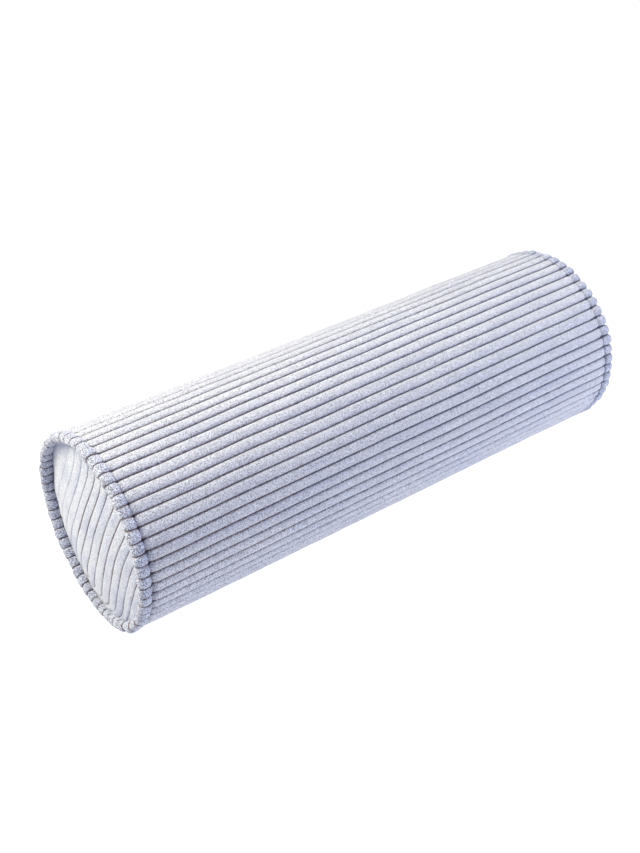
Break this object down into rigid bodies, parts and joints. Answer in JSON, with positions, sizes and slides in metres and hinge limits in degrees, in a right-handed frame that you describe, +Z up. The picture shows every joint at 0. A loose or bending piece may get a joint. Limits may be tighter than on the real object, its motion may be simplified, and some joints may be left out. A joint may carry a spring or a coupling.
{
  "type": "bolster cushion",
  "caption": "Firm round bolster cushion in wide-wale corduroy, with flat round ends edged by a self-fabric piping.",
  "frame": {"origin": "on the surface it lies on, below the middle of the cushion", "axes": "+X along the bolster, +Z up"},
  "size_m": [0.6022, 0.199, 0.1965],
  "materials": {
    "corduroy_body": "matte pile with a soft sheen",
    "corduroy_piping": "matte pile with a soft sheen",
    "corduroy_panel": "matte pile with a soft sheen"
  },
  "bodies": {
    "root": {"bolster_body": "corduroy_body", "piping_left": "corduroy_piping", "piping_right": "corduroy_piping", "end_panel_left": "corduroy_panel", "end_panel_right": "corduroy_panel"}
  },
  "joints": []
}
